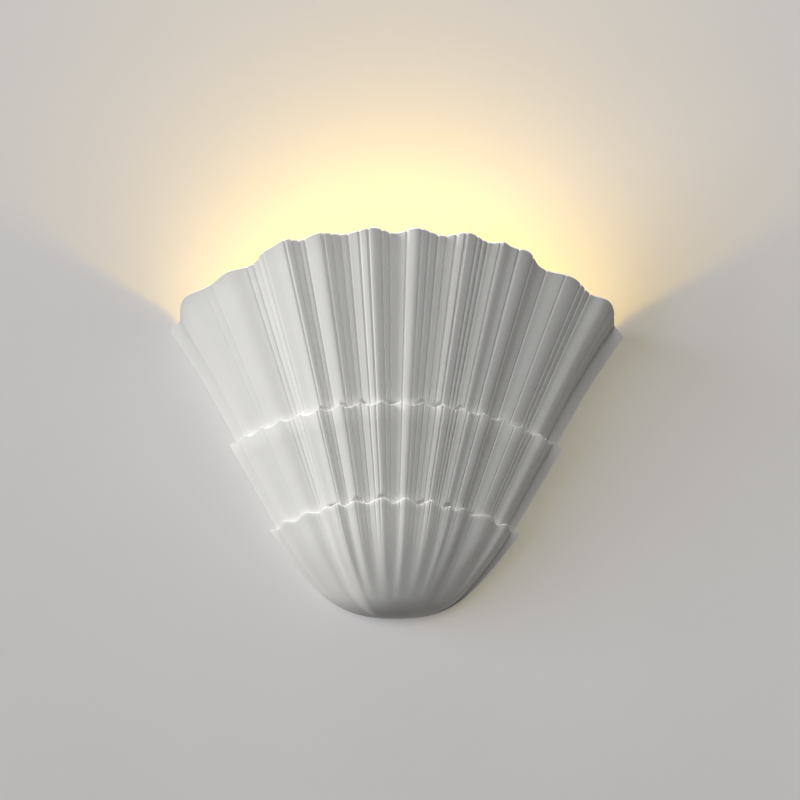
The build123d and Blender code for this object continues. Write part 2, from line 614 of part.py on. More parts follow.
def lampholder_core():
    radius = HOLDER_DIAMETER / 2 - HOLDER_WALL - SEAT_GAP
    socket = SCREW_SHELL_BORE + SCREW_SHELL_WALL + SEAT_GAP
    slim = radius - SLEEVE_STEP
    step = HOLDER_BASE_HEIGHT + SLEEVE_STEP_ABOVE_BASE - SEAT_GAP
    core = turned_polygon((0, CORE_BOTTOM), (radius, CORE_BOTTOM), (radius, step - 1), (slim, step),
                          (slim, CORE_TOP), (socket, CORE_TOP), (socket, CORE_TOP - CORE_RECESS),
                          (0, CORE_TOP - CORE_RECESS))
    for side in (-1, 1):
        core -= disc(terminal_plane(side), M3_DIAMETER, -TERMINAL_HOLE_DEPTH, 0)
    return core


def terminal_plane(side):
    """Where a terminal screw enters the core from below."""
    place = SEAT.from_local_coords(Vector(side * TERMINAL_OFFSET, 0, CORE_BOTTOM))
    return Plane(place, x_dir=(1, 0, 0), z_dir=-SEAT.z_dir)


def lampholder_terminals():
    return Compound(children=[pan_screw(terminal_plane(side), M3_DIAMETER, M3_HEAD_DIAMETER, M3_HEAD_HEIGHT,
                                        TERMINAL_SCREW_LENGTH) for side in (-1, 1)])


def lampholder_screw_shell():
    low = CORE_TOP - CORE_RECESS
    top = low + SCREW_SHELL_HEIGHT
    bore, outer = SCREW_SHELL_BORE, SCREW_SHELL_BORE + SCREW_SHELL_WALL
    return turned_polygon((bore, low), (outer, low), (outer, top), (bore, top))


def lampholder_contact():
    """A strip that stands on its two ends and arches up to the lamp's tip."""
    low, half = CORE_TOP - CORE_RECESS, SCREW_SHELL_BORE - 1
    t = CONTACT_THICKNESS
    over = ThreePointArc((-half, low + t), (0, CONTACT_TOP), (half, low + t))
    under = ThreePointArc((half, low), (0, CONTACT_TOP - t), (-half, low))
    profile = Face(Wire([over, Line(over @ 1, under @ 0), under, Line(under @ 1, over @ 0)]))
    return SEAT * extrude(Plane.XZ * profile, CONTACT_WIDTH / 2, both=True)


# ---- lamp ----
def bulb_tip_contact():
    top = LAMP_TIP + TIP_HEIGHT
    radius = TIP_DIAMETER / 2
    arc = ThreePointArc((0, LAMP_TIP), (0.7 * radius, LAMP_TIP + 0.3 * TIP_HEIGHT), (radius, top))
    return turned(arc, Line(arc @ 1, (0, top)), Line((0, top), arc @ 0))


def bulb_insulator():
    low = LAMP_TIP + TIP_HEIGHT
    return turned_polygon((0, low), (TIP_DIAMETER / 2 + INSULATOR_MARGIN, low),
                          (CAP_DIAMETER / 2, CAP_BOTTOM), (0, CAP_BOTTOM))


def bulb_cap():
    inner, outer, collar = CAP_DIAMETER / 2 - CAP_WALL, CAP_DIAMETER / 2, CAP_COLLAR_DIAMETER / 2
    return turned_polygon((inner, CAP_BOTTOM), (outer, CAP_BOTTOM), (outer, CAP_TOP - CAP_COLLAR_HEIGHT),
                          (collar, CAP_TOP - 0.6 * CAP_COLLAR_HEIGHT), (collar, CAP_TOP), (inner, CAP_TOP))


def bulb_housing():
    spigot = CAP_DIAMETER / 2 - CAP_WALL - SEAT_GAP
    foot, top = NECK_FOOT_DIAMETER / 2, NECK_TOP_DIAMETER / 2
    neck = HOLDER_HEIGHT + NECK_START_ABOVE_HOLDER
    rise = NECK_TOP - neck
    curve = Bezier((foot, neck), (foot, neck + rise / 2), (top - rise / 3, NECK_TOP - rise / 3),
                   (top, NECK_TOP))
    sides = Polyline((0, NECK_TOP), (0, CAP_BOTTOM), (spigot, CAP_BOTTOM), (spigot, CAP_TOP), (foot, CAP_TOP),
                     (foot, neck))
    return turned(*sides.edges(), curve, Line((top, NECK_TOP), (0, NECK_TOP)))


def bulb_globe():
    outer, inner = GLOBE_DIAMETER / 2, GLOBE_DIAMETER / 2 - GLOBE_WALL
    depth = GLOBE_CENTRE - NECK_TOP
    over = ThreePointArc((NECK_TOP_DIAMETER / 2, NECK_TOP), (outer, GLOBE_CENTRE), (0, GLOBE_CENTRE + outer))
    foot = sqrt(inner ** 2 - depth ** 2)
    under = ThreePointArc((0, GLOBE_CENTRE + inner), (inner, GLOBE_CENTRE), (foot, NECK_TOP))
    return turned(over, Line(over @ 1, under @ 0), under, Line(under @ 1, over @ 0))


def bulb_led_board():
    return disc(SEAT, LED_BOARD_DIAMETER, NECK_TOP, NECK_TOP + LED_BOARD_THICKNESS)


def bulb_leds():
    plane = SEAT.offset(NECK_TOP + LED_BOARD_THICKNESS)
    chip = Box(LED_SIZE, LED_SIZE, LED_HEIGHT, align=(Align.CENTER, Align.CENTER, Align.MIN))
    return Compound(children=[plane * place * chip for place in PolarLocations(LED_CIRCLE / 2, LED_COUNT)])


# ---- terminal block ----
def block_fixing_plane():
    return into_room((POLE_X[0] + POLE_X[1]) / 2, BLOCK_TOP - BLOCK_HEIGHT / 2)


def pole_axis(x):
    """A plane at the middle of a sleeve, along the sleeve."""
    return Plane(at(x, POLE_DEPTH, BLOCK_TOP - BLOCK_HEIGHT / 2))


def clamp_levels():
    return BLOCK_BOTTOM + BLOCK_SCREW_INSET, BLOCK_TOP - BLOCK_SCREW_INSET


def terminal_block():
    sides = (BLOCK_CENTRE_X - BLOCK_WIDTH / 2, BLOCK_CENTRE_X + BLOCK_WIDTH / 2)
    front = PLATE_THICKNESS + BLOCK_DEPTH
    body = block(sides, (PLATE_THICKNESS, front), (BLOCK_BOTTOM, BLOCK_TOP))
    body = fillet(body.edges().filter_by(Axis.Z).sort_by(Axis.Y)[:2], 1.5)
    for x in POLE_X:
        body -= disc(pole_axis(x), SLEEVE_DIAMETER + 2 * SEAT_GAP, -BLOCK_HEIGHT, BLOCK_HEIGHT)
        for z in clamp_levels():
            body -= disc(into_room(x, z), M3_DIAMETER + 2 * HOLE_CLEARANCE, POLE_DEPTH, front)
    return body - disc(block_fixing_plane(), M3_DIAMETER + 2 * HOLE_CLEARANCE, PLATE_THICKNESS, front)


def terminal_sleeves():
    sleeves = []
    for x in POLE_X:
        plane = pole_axis(x)
        sleeve = disc(plane, SLEEVE_DIAMETER, -SLEEVE_LENGTH / 2, SLEEVE_LENGTH / 2)
        sleeve -= disc(plane, SLEEVE_BORE, -SLEEVE_LENGTH / 2, SLEEVE_LENGTH / 2)
        for z in clamp_levels():
            sleeve -= disc(into_room(x, z), M3_DIAMETER, POLE_DEPTH, POLE_DEPTH + SLEEVE_DIAMETER)
        sleeves.append(sleeve)
    return Compound(children=sleeves)


def terminal_screws():
    """Headless clamp screws: the lower row presses on the wires, the upper row waits for the supply."""
    screws = []
    tip = POLE_DEPTH + WIRE_DIAMETER / 2
    end = PLATE_THICKNESS + BLOCK_DEPTH - 1
    for x in POLE_X:
        for z in clamp_levels():
            plane = into_room(x, z)
            screw = disc(plane, M3_DIAMETER - 2 * THREAD_CLEARANCE, tip, end)
            cut = plane.offset(end) * Box(M3_DIAMETER, DRIVE_SLOT_WIDTH, 2 * DRIVE_SLOT_DEPTH)
            screws.append(screw - cut)
    return Compound(children=screws)


def terminal_fixing_screw():
    front = PLATE_THICKNESS + BLOCK_DEPTH
    return pan_screw(block_fixing_plane().offset(front), M3_DIAMETER, M3_HEAD_DIAMETER, M3_HEAD_HEIGHT,
                     front - HOLE_CLEARANCE)


# ---- plate earth ----
def earth_lug():
    plane = into_room(EARTH_X, EARTH_Z, PLATE_THICKNESS)
    ring = disc(plane, LUG_RING_DIAMETER, 0, LUG_RING_THICKNESS)
    half = LUG_BARREL_DIAMETER / 2
    tongue_end = EARTH_Z - LUG_RING_DIAMETER / 2 - LUG_TONGUE
    tongue = block((EARTH_X - half, EARTH_X + half), (PLATE_THICKNESS, PLATE_THICKNESS + LUG_RING_THICKNESS),
                   (tongue_end, EARTH_Z))
    barrel_plane = Plane(at(EARTH_X, PLATE_THICKNESS + half, tongue_end + 1))
    barrel = disc(barrel_plane, LUG_BARREL_DIAMETER, -LUG_BARREL_LENGTH, 0)
    bore = disc(barrel_plane, WIRE_DIAMETER + 2 * SEAT_GAP, -LUG_BARREL_LENGTH, -1)
    hole = disc(plane, M4_DIAMETER + 2 * HOLE_CLEARANCE, 0, LUG_RING_THICKNESS)
    return ring + tongue + barrel - bore - hole


def earth_washer():
    plane = into_room(EARTH_X, EARTH_Z, PLATE_THICKNESS + LUG_RING_THICKNESS)
    ring = disc(plane, EARTH_WASHER_DIAMETER, 0, EARTH_WASHER_THICKNESS)
    return ring - disc(plane, M4_DIAMETER + 2 * HOLE_CLEARANCE, 0, EARTH_WASHER_THICKNESS)


def earth_screw():
    seat_depth = PLATE_THICKNESS + LUG_RING_THICKNESS + EARTH_WASHER_THICKNESS
    return m4_screw(into_room(EARTH_X, EARTH_Z, seat_depth), seat_depth - HOLE_CLEARANCE)


# ---- wires: straight runs joined by round bends ----
def wire(*points):
    path = FilletPolyline(*points, radius=WIRE_BEND)
    start = Plane(path @ 0, z_dir=path % 0)
    section = start * Circle(WIRE_DIAMETER / 2)
    tube = sweep(section, path=path)
    print("wire length", round(path.length, 2), "volume over section", round(tube.volume / section.area, 2))
    return tube


def lamp_wire(side, turn_below, pole):
    """From under the lampholder's core, down the nipple, across and up into a sleeve."""
    start = SEAT.from_local_coords(Vector(side * WIRE_SPREAD, 0, CORE_BOTTOM))
    turn = SEAT.from_local_coords(Vector(side * WIRE_SPREAD, 0, -turn_below))
    x = POLE_X[pole]
    return wire(start, turn, at(x, POLE_DEPTH, turn.Z), at(x, POLE_DEPTH, wire_end_z()))


def wire_end_z():
    return BLOCK_BOTTOM + BLOCK_SCREW_INSET + M3_DIAMETER


def live_wire():
    return lamp_wire(-1, LIVE_TURN_BELOW, 2)


def neutral_wire():
    return lamp_wire(1, NEUTRAL_TURN_BELOW, 1)


def earth_wire():
    x = POLE_X[0]
    lug_depth = PLATE_THICKNESS + LUG_BARREL_DIAMETER / 2
    lug_z = EARTH_Z - LUG_RING_DIAMETER / 2 - LUG_TONGUE
    return wire(at(x, POLE_DEPTH, wire_end_z()), at(x, POLE_DEPTH, EARTH_RUN_Z),
                at(EARTH_X, lug_depth, EARTH_RUN_Z), at(EARTH_X, lug_depth, lug_z))


PIECES = [
    shell_shade, hanger_strap, strap_inserts, strap_screws,
    wall_plate, cable_grommet, holder_bracket, bracket_screws,
    threaded_nipple, nipple_washer, nipple_nut,
    lampholder_base, lampholder_sleeve, lampholder_core, lampholder_screw_shell, lampholder_contact,
    lampholder_terminals,
    bulb_cap, bulb_insulator, bulb_tip_contact, bulb_housing, bulb_globe, bulb_led_board, bulb_leds,
    terminal_block, terminal_sleeves, terminal_screws, terminal_fixing_screw,
    live_wire, neutral_wire, earth_wire, earth_lug, earth_washer, earth_screw,
]

for piece in PIECES:
    save(piece(), piece.__name__)
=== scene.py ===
import json
import bmesh
import bpy
from math import asin, cos, degrees, exp, hypot, pi, radians, sin, sqrt, tan
from mathutils import Matrix, Vector


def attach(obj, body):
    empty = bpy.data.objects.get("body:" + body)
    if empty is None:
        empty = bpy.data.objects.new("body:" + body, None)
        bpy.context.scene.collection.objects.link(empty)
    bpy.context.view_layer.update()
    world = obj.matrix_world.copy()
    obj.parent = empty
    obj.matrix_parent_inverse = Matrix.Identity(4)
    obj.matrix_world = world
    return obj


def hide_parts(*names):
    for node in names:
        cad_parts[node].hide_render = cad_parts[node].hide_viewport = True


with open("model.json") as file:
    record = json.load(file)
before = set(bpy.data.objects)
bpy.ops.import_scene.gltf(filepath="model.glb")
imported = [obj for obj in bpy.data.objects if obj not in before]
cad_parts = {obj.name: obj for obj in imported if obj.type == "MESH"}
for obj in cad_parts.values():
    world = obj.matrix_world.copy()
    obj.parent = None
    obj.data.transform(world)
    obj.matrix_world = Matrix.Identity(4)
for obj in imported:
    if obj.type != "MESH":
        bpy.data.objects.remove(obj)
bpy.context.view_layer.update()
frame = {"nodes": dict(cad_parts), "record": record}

MM = 0.001

# Shell wall sconce. Sizes in millimetres, meshes in metres. "Level" is a height above the shell's lowest
# point, "depth" the distance from the wall, which is the plane y = 0 with the room on its -Y side.
ORIGIN_LEVEL = 104.0

# ---- outline of the shell, as in the solids ----
FAN_CENTRE_DROP = 78.0
UPPER_FAN = radians(28.7)
MIDDLE_FAN = radians(29.9)
RIM_TIP_LEVEL = 187.0
RIM_RISE = 0.53
MIDDLE_TOP_RADIUS = 220.0
BOWL_TOP_RADIUS = 158.0
TIP_FLARE = 4.6
SIDE_SPREAD = 5.5
FLARE_START_LEVEL = 138.0
BOWL_LONG_RADIUS = 245.0
BOWL_SHORT_RADIUS = 58.0
BOWL_CHANGE = radians(45.0)
BOWL_FOOT = 9.0
BOWL_FLOOR = 6.0
FLUTE_START_LEVEL = 10.0
FLUTE_FULL_LEVEL = 52.0
BELLY_SHARE = 0.935
DEPTH_SHARE = 0.645
SIDE_FLATNESS = 0.12
FLAT_ANGLES = (radians(25.0), radians(40.0), radians(57.0), radians(72.0))
FLUTE_SHARE = 0.0142
RIB_DRIFT = 0.0            # lower down, the ribs of the middle stand this much further apart, as a share
RIB_DRIFT_LEVELS = (52.0, 199.0)
RIB_DRIFT_MIDDLE = 0.055    # the place that does not move, as a share of the half width
FLUTE_SIDE_LEAN = 0.5
FLANGE_FOOT = radians(80.0)
FLANGE_DROP = 0.4           # the flat sides start at this share of the last valley's depth
FLANGE_CREASE = 0.14        # and within this share of their width
SHELL_WALL = 5.0
INNER_FLUTE_SHARE = 0.7

# ---- the cast relief that the photograph shows ----
# Ribs and valleys: degrees from the centre line, and the height there from -1, a full valley, to 1, a full rib.
FLUTES_LEFT = (
    (-26.75, -1.0), (-24.4, 0.8), (-22.0, -0.6), (-19.4, 0.8), (-16.4, -0.6), (-15.0, 0.5), (-13.8, 0.2),
    (-12.2, 0.8), (-10.7, -0.5), (-8.5, 0.8), (-5.9, -0.6), (-2.7, 0.95), (-0.3, -1.0),
)
FLUTES_RIGHT = (
    (2.1, 0.9), (4.9, -1.0), (7.6, 1.0), (10.3, -1.0), (11.6, 0.2), (12.7, -0.7), (14.6, 0.7),
    (16.3, -1.0), (20.1, 1.0), (22.9, -0.9), (24.6, 0.8), (26.75, -1.0),
)
# Bundles of fine grooves that run up the shell: the bundle's middle in degrees from the centre line, its number
# of grooves, the degrees between them, and their depth in millimetres where the shell is widest.
REEDS = (
    (-22.4, 2, 0.90, 0.35), (-16.2, 4, 0.75, 0.80), (-11.3, 4, 0.70, 1.05), (-6.8, 4, 0.88, 1.10),
    (-3.7, 2, 1.00, 0.90), (-1.3, 2, 0.85, 1.10), (1.0, 1, 0.0, 0.90), (3.0, 2, 0.90, 0.70),
    (5.9, 4, 0.97, 1.40), (9.3, 3, 0.63, 1.00), (11.3, 1, 0.0, 1.40), (13.5, 1, 0.0, 1.10),
    (15.2, 1, 0.0, 1.00), (17.2, 1, 0.0, 0.70), (19.3, 1, 0.0, 0.50), (22.1, 3, 0.78, 1.10),
    (26.0, 2, 0.75, 0.80),
)
REED_HALF_WIDTH = 0.90      # millimetres, where the shell is widest
REED_LEVELS = (34.0, 100.0)  # the grooves begin in the bowl and have their full depth in the middle tier
RELIEF_RADIUS = 172.0       # half width of the shell where the grooves have the depths above
EDGE_ROUND = 1.5            # rounding along the rim
LIP_ROUND = 0.4             # rounding along the two steps
LIP_SWELL = 0.2             # the steps' lips stand out a little
UPPER_STEP_WAVE = 2.4       # the upper step hangs in small lobes, this high
UPPER_STEP_LOBE = 3.45      # degrees from one lobe to the next
UPPER_STEP_START = -0.8     # degrees, the middle of one lobe
LOWER_STEP_WAVE = 2.0       # the lower step rises by this much where a rib stands out
STEP_SINK = (2.6, 3.2)      # how much a step falls from its lip inwards, on the ribs and in the valleys
# Small pockets behind the steps' lips, in degrees from the centre line.
UPPER_POCKETS = (-12.0, -8.4, -5.4, -1.0, 4.0, 6.6, 10.4, 16.3)
LOWER_POCKETS = (-14.6, -8.7, -3.0, 5.8, 12.3, 17.8)
POCKET_DEPTH = 2.6
POCKET_HALF_WIDTH = 2.6
POCKET_HEIGHT = 2.6

# ---- mesh of the shell ----
FLUTED_COLUMNS = 880
FLANGE_COLUMNS = 6
BOWL_ROWS = 24
TIER_ROWS = 6
RIM_ROWS = 10
INNER_ROWS = 18


# ---------------------------------------------------------------- helpers for meshes
def make_piece(name, b, body, material, replaced=(), sharp=40.0):
    """Turns a bmesh in metres into a piece that rides on a body."""
    mesh = bpy.data.meshes.new(name)
    b.to_mesh(mesh)
    b.free()
    mesh.shade_smooth()
    mesh.set_sharp_from_angle(angle=radians(sharp))
    piece = bpy.data.objects.new(name, mesh)
    bpy.context.scene.collection.objects.link(piece)
    mesh.materials.append(material)
    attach(piece, body)
    if replaced:
        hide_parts(*replaced)
    return piece


def smoothstep(x, low, high):
    share = min(1.0, max(0.0, (x - low) / (high - low)))
    return share * share * (3 - 2 * share)


# ---------------------------------------------------------------- form of the shell
def fan_half_width(level, fan):
    return (level + FAN_CENTRE_DROP) * tan(fan)


def bowl_half_width(level, floor_level=0.0, inset=0.0):
    short = BOWL_SHORT_RADIUS - inset
    long = BOWL_LONG_RADIUS - inset
    rise = max(0.0, level - floor_level)
    change_rise = short * (1 - sin(BOWL_CHANGE))
    if rise <= change_rise:
        return BOWL_FOOT + sqrt(short ** 2 - (short - rise) ** 2)
    slope_sine = sin(BOWL_CHANGE) - (rise - change_rise) / long
    return BOWL_FOOT + short * cos(BOWL_CHANGE) + long * (sqrt(1 - slope_sine ** 2) - cos(BOWL_CHANGE))


def upper_half_width(level):
    return fan_half_width(level, UPPER_FAN)


def middle_half_width(level):
    return fan_half_width(level, MIDDLE_FAN)


def hollow_half_width(level):
    """The inside follows the upper tier down to level 70, and the bowl below level 45."""
    if level >= 70.0:
        return upper_half_width(level)
    if level <= 45.0:
        return bowl_half_width(level, BOWL_FLOOR, BOWL_FLOOR)
    low, high = bowl_half_width(45.0, BOWL_FLOOR, BOWL_FLOOR), upper_half_width(70.0)
    low_slope = (low - bowl_half_width(44.0, BOWL_FLOOR, BOWL_FLOOR)) * 25.0
    high_slope = tan(UPPER_FAN) * 25.0
    t = (level - 45.0) / 25.0
    return ((2 * t ** 3 - 3 * t ** 2 + 1) * low + (t ** 3 - 2 * t ** 2 + t) * low_slope
            + (3 * t ** 2 - 2 * t ** 3) * high + (t ** 3 - t ** 2) * high_slope)


def plan_angle(fan_angle):
    return asin(tan(radians(fan_angle)) / tan(UPPER_FAN) / BELLY_SHARE)


FLUTES = [(plan_angle(place), height) for place, height in FLUTES_LEFT + FLUTES_RIGHT]


def plan_cosine(angle):
    """Depth of the plan as a share of its full depth: an ellipse with flatter sides."""
    start, full, fade, end = FLAT_ANGLES
    flat = smoothstep(abs(angle), start, full) - smoothstep(abs(angle), fade, end)
    return cos(angle) * (1 - SIDE_FLATNESS * flat)


def flute_wave(angle):
    """Height of the flutes at an angle round the plan, in soft waves from rib to valley."""
    for (start, low), (end, high) in zip(FLUTES, FLUTES[1:]):
        if angle < end:
            break
    return low + (high - low) * smoothstep(angle, start, end)


def reed_lines():
    """Every groove's place round the plan in radians, its depth and its half width."""
    lines = []
    for middle, count, pitch, depth in REEDS:
        for i in range(count):
            offset = i - (count - 1) / 2
            place = plan_angle(middle + offset * pitch)
            along = hypot(BELLY_SHARE * cos(place), DEPTH_SHARE * sin(place)) * RELIEF_RADIUS
            lines.append((place, depth * (1 - 0.12 * abs(offset)), REED_HALF_WIDTH / along))
    return lines


REED_LINES = reed_lines()


def groove_relief(angle):
    """Depth of the fine grooves at an angle round the plan."""
    total = 0.0
    for place, depth, reach in REED_LINES:
        distance = (angle - place) / reach
        if abs(distance) < 2.5:
            total += depth * exp(-1.6 * distance ** 2)
    return total


class Column:
    """One line up the shell, at a place round its plan. `flange` runs from 0 at the flutes to 1 at the wall."""

    def __init__(self, angle, flange=0.0, side=0.0):
        self.sine = sin(angle)
        self.wave = flute_wave(angle)
        away = self.sine - RIB_DRIFT_MIDDLE
        self.apart = away / (abs(away) + 0.12) * (1 - (self.sine / sin(FLANGE_FOOT)) ** 2)
        self.relief = groove_relief(angle) if flange == 0.0 else 0.0
        self.flange, self.side = flange, side
        self.flatness = 1 - min(1.0, flange / FLANGE_CREASE) * (1 - FLANGE_DROP)

    def point(self, half_width, level, wall=0.0, flute_share=1.0, relief=1.0, flare=0.0, out=0.0, spread=0.0):
        """(x, depth) on a section of the given half width, `out` further out than its surface."""
        side, front = BELLY_SHARE * half_width - wall, DEPTH_SHARE * half_width - wall
        growth = smoothstep(level, FLUTE_START_LEVEL, FLUTE_FULL_LEVEL)
        start, end = RIB_DRIFT_LEVELS
        sine = self.sine + RIB_DRIFT * self.apart * min(1.0, max(0.0, (end - level) / (end - start)))
        angle = asin(sine)
        nx, nd = sine / side, cos(angle) / front
        size = hypot(nx, nd)
        nx, nd = nx / size, nd / size
        flute = FLUTE_SHARE * half_width * growth * flute_share * self.wave
        cut = self.relief * relief * smoothstep(level, *REED_LEVELS) * half_width / RELIEF_RADIUS
        x = side * sine + nx * (FLUTE_SIDE_LEAN * flute - cut + out) + sine * abs(sine) ** 7 * spread
        depth = front * plan_cosine(angle) + nd * (flute - cut + out)
        if self.side:
            tip = self.side * (half_width + flare if wall == 0.0 else side + spread)
            x += (tip + self.side * out - x) * self.flange
            depth *= (1 - self.flange) * self.flatness
        return x, depth


def shell_columns():
    foot = sin(FLANGE_FOOT)
    fluted = [Column(asin(foot * (2 * i / FLUTED_COLUMNS - 1))) for i in range(FLUTED_COLUMNS + 1)]
    steps = [FLANGE_CREASE * (i + 1) / 3 for i in range(3)]
    steps += [FLANGE_CREASE + (1 - FLANGE_CREASE) * (i + 1) / FLANGE_COLUMNS for i in range(FLANGE_COLUMNS)]
    left = [Column(-FLANGE_FOOT, share, -1.0) for share in reversed(steps)]
    right = [Column(FLANGE_FOOT, share, 1.0) for share in steps]
    return left + fluted + right


def upper_step_lift(column, fan_angle):
    turn = pi * (degrees(fan_angle) - UPPER_STEP_START) / UPPER_STEP_LOBE
    return UPPER_STEP_WAVE * (0.5 - abs(cos(turn)))


def lower_step_lift(column, fan_angle):
    return LOWER_STEP_WAVE * column.wave


def step_level(column, half_width, radius, lift_at):
    """Level at which a tier's surface meets the wavy arc of a step."""
    level = radius - FAN_CENTRE_DROP
    for _ in range(6):
        x, _depth = column.point(half_width(level), level)
        lift = lift_at(column, asin(x / radius)) * (1 - column.flange)
        level = sqrt((radius + lift) ** 2 - x * x) - FAN_CENTRE_DROP
    return level


def tip_flare(level):
    return TIP_FLARE * max(0.0, (level - FLARE_START_LEVEL) / (RIM_TIP_LEVEL - FLARE_START_LEVEL)) ** 2


def side_spread(level, rim):
    """The outer ribs curve out towards the rim, as the edges do."""
    return SIDE_SPREAD * max(0.0, (level - FLARE_START_LEVEL) / (rim - FLARE_START_LEVEL)) ** 2


def rim_level(column):
    level = RIM_TIP_LEVEL
    for _ in range(12):
        _x, depth = column.point(upper_half_width(level), level)
        level = RIM_TIP_LEVEL + RIM_RISE * depth / column.flatness
    return level


def tier_rows(column, half_width, low, high, rows, lip=True, rim=None):
    """Points up one tier from level low to its step, with a rounded lip that swells out a little."""
    points = []
    top = high - LIP_ROUND if lip else high
    for i in range(rows):
        t = i / (rows - 1)
        level = low + (top - low) * t
        swell = LIP_SWELL * smoothstep(level, high - 7.0, high - 1.5) if lip else 0.0
        x, depth = column.point(half_width(level), level, out=swell, flare=tip_flare(level) if rim else 0.0,
                                spread=side_spread(level, rim) if rim else 0.0)
        points.append((x, depth, level))
    if lip:
        for turn in (30, 60, 90):
            level = top + LIP_ROUND * sin(radians(turn))
            x, depth = column.point(half_width(level), level, out=LIP_SWELL - LIP_ROUND * (1 - cos(radians(turn))))
            points.append((x, depth, level))
    return points


def pocket_depth(column, half_width, level, pockets):
    """How deep the pockets behind a step's lip are in one column."""
    x, _depth = column.point(half_width, level)
    radius = level + FAN_CENTRE_DROP
    total = 0.0
    for place in pockets:
        total += exp(-((x - radius * tan(radians(place))) / POCKET_HALF_WIDTH) ** 2)
    return POCKET_DEPTH * total * (1 - column.flange)


def ledge_rows(column, lower, upper, level, pockets):
    """The top of a step, which falls a little from its lip inwards, and the foot of the tier above it."""
    on_rib, in_valley = STEP_SINK
    sink = on_rib + (in_valley - on_rib) * (1 - column.wave) / 2
    pocket = pocket_depth(column, upper(level), level, pockets)
    x0, d0 = column.point(lower(level), level, out=LIP_SWELL - LIP_ROUND)
    x1, d1 = column.point(upper(level - sink), level - sink, out=-pocket)
    rows = [(x0 + (x1 - x0) * t, d0 + (d1 - d0) * t, level - sink * t) for t in (0.5, 1.0)]
    for rise in (0.25, 0.5, 0.75, 1.0):
        height = level + POCKET_HEIGHT * rise
        x, depth = column.point(upper(height), height, out=-pocket * (1 - smoothstep(rise, 0.0, 1.0)))
        rows.append((x, depth, height))
    return rows


def column_line(column):
    """All points of one column, from the foot up the outside, over the rim and down the inside."""
    line = []
    bowl_top = step_level(column, bowl_half_width, BOWL_TOP_RADIUS, lower_step_lift)
    middle_top = step_level(column, middle_half_width, MIDDLE_TOP_RADIUS, upper_step_lift)
    rim = rim_level(column)
    foot_x, foot_depth = column.point(bowl_half_width(0.0), 0.0)
    line.append((foot_x, 0.0, 0.0))
    line.append((foot_x, foot_depth, 0.0))
    for i in range(1, 7):
        level = 9.0 * (i / 6) ** 2
        x, depth = column.point(bowl_half_width(level), level)
        line.append((x, depth, level))
    line += tier_rows(column, bowl_half_width, 9.0 + (bowl_top - 9.0) / BOWL_ROWS, bowl_top, BOWL_ROWS)
    line += ledge_rows(column, bowl_half_width, middle_half_width, bowl_top, LOWER_POCKETS)
    line += tier_rows(column, middle_half_width, line[-1][2] + 1.5, middle_top, TIER_ROWS)
    line += ledge_rows(column, middle_half_width, upper_half_width, middle_top, UPPER_POCKETS)
    line += tier_rows(column, upper_half_width, line[-1][2] + 1.5, rim - EDGE_ROUND, RIM_ROWS, lip=False, rim=rim)

    out_x, out_depth = column.point(upper_half_width(rim), rim, flare=tip_flare(rim), spread=side_spread(rim, rim))
    in_x, in_depth = column.point(hollow_half_width(rim), rim, wall=SHELL_WALL, flute_share=INNER_FLUTE_SHARE,
                                  relief=0.0, spread=side_spread(rim, rim))
    width = hypot(out_x - in_x, out_depth - in_depth)
    for turn in (30, 60, 90):
        inset = EDGE_ROUND * (1 - cos(radians(turn))) / width
        level = rim - EDGE_ROUND * (1 - sin(radians(turn)))
        line.append((out_x + (in_x - out_x) * inset, out_depth + (in_depth - out_depth) * inset, level))
    inner_rim = rim - RIM_RISE * (out_depth - in_depth) / column.flatness
    for turn in (90, 60, 30):
        inset = 1 - EDGE_ROUND * (1 - cos(radians(turn))) / width
        level = inner_rim - EDGE_ROUND * (1 - sin(radians(turn)))
        line.append((out_x + (in_x - out_x) * inset, out_depth + (in_depth - out_depth) * inset, level))
    start = inner_rim - EDGE_ROUND
    for i in range(INNER_ROWS + 1):
        level = start + (BOWL_FLOOR - start) * (1 - (1 - i / INNER_ROWS) ** 1.8)
        x, depth = column.point(hollow_half_width(level), level, wall=SHELL_WALL, flute_share=INNER_FLUTE_SHARE,
                                relief=0.0, spread=side_spread(level, rim))
        line.append((x, depth, level))
    line.append((line[-1][0], 0.0, BOWL_FLOOR))
    return line


